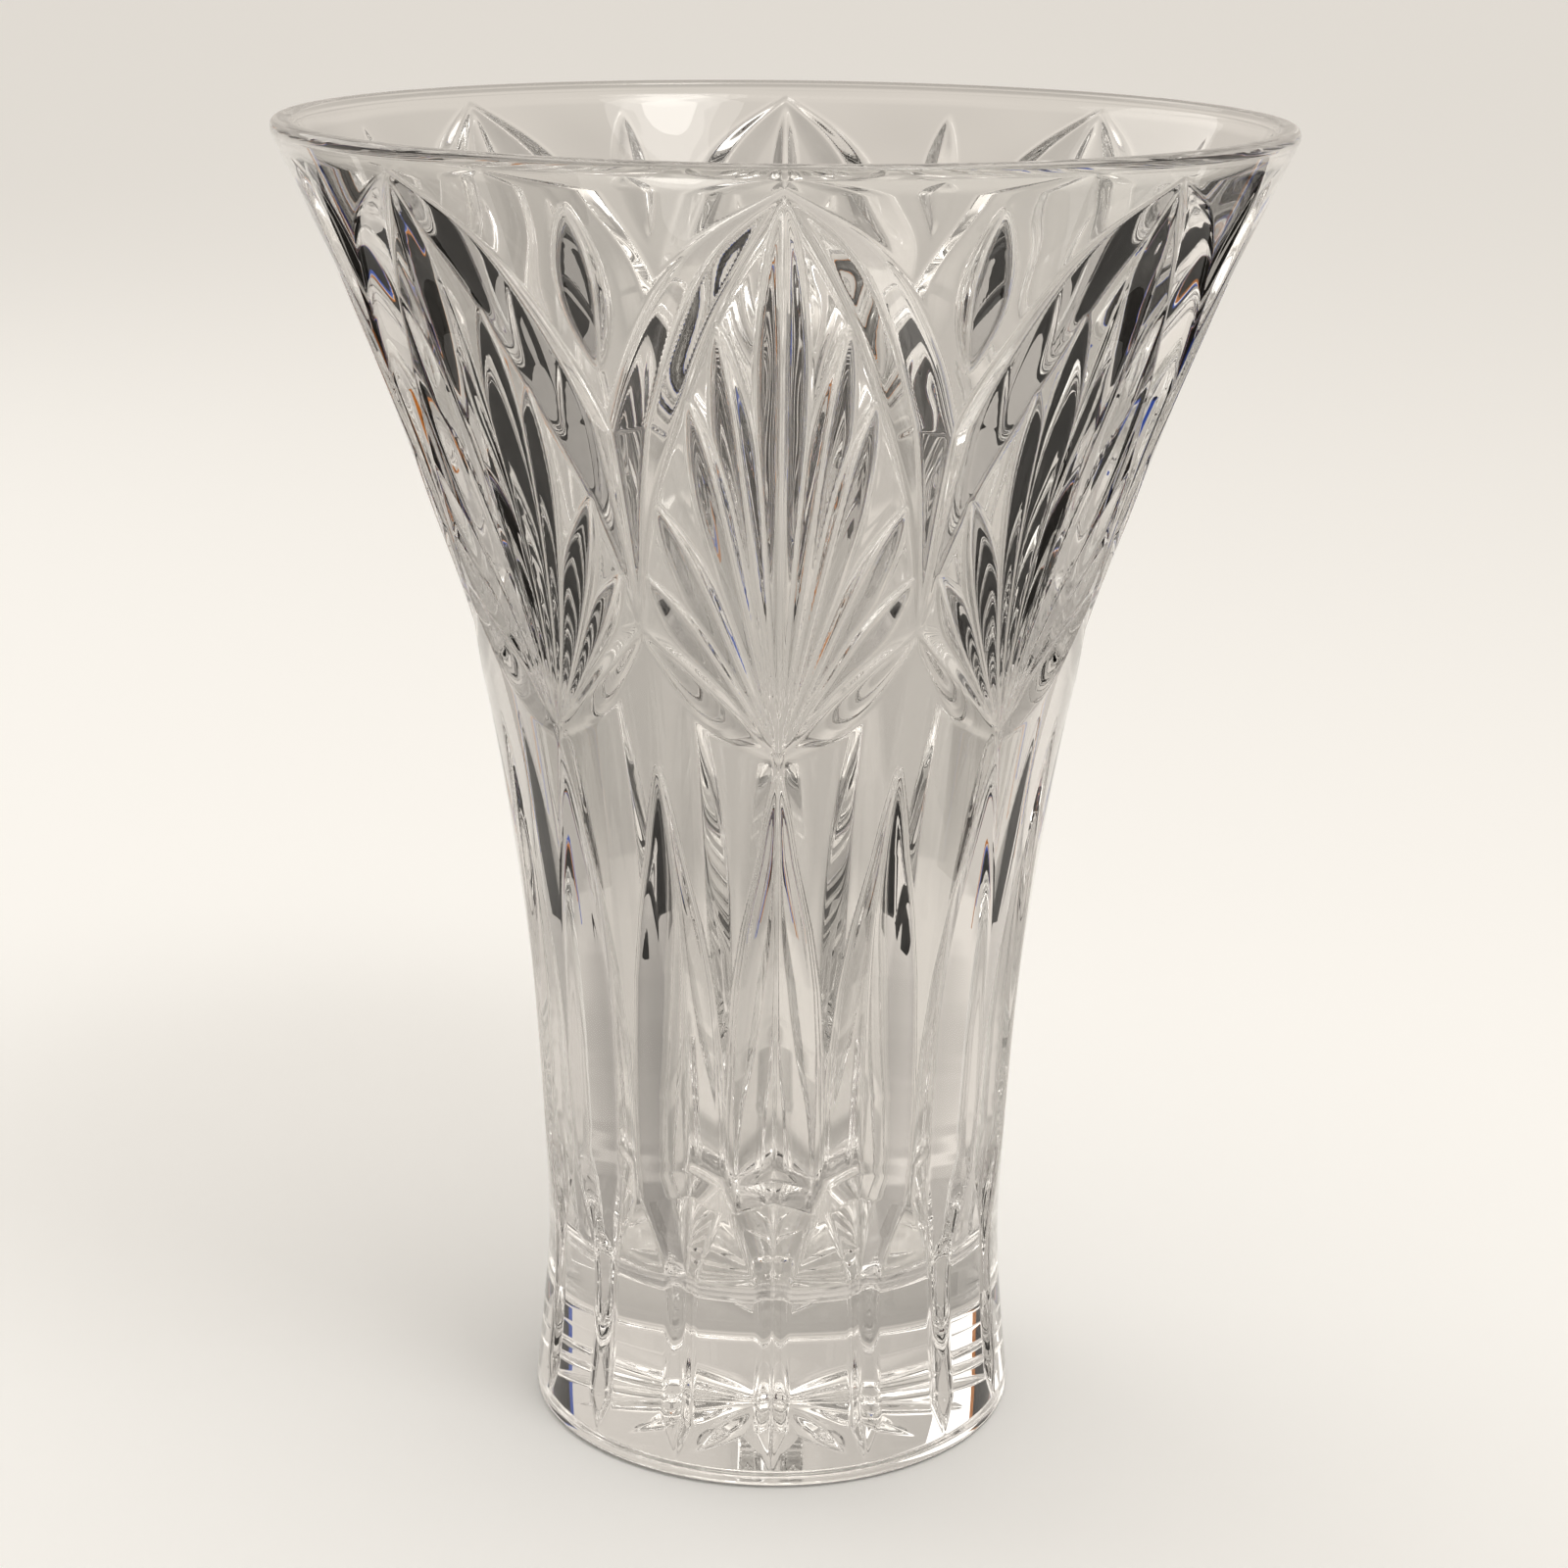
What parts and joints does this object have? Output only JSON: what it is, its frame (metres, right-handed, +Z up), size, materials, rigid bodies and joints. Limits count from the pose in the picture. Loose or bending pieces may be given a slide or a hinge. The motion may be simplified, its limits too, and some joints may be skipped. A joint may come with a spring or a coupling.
{
  "type": "cut crystal vase",
  "caption": "Flared vase of thick clear cut crystal that holds flowers in water and stands on its heavy flat foot.",
  "frame": {"origin": "centre of the ring that the vase stands on, at the level of the surface under it", "axes": "+Z up the vase's axis, from the foot to the rim; -Y faces the middle of one of the eight cut panels"},
  "size_m": [0.1682, 0.1682, 0.229],
  "materials": {
    "crystal": "polished clear lead crystal with sharp cut edges"
  },
  "bodies": {
    "root": {"vase_body": "crystal"}
  },
  "joints": []
}
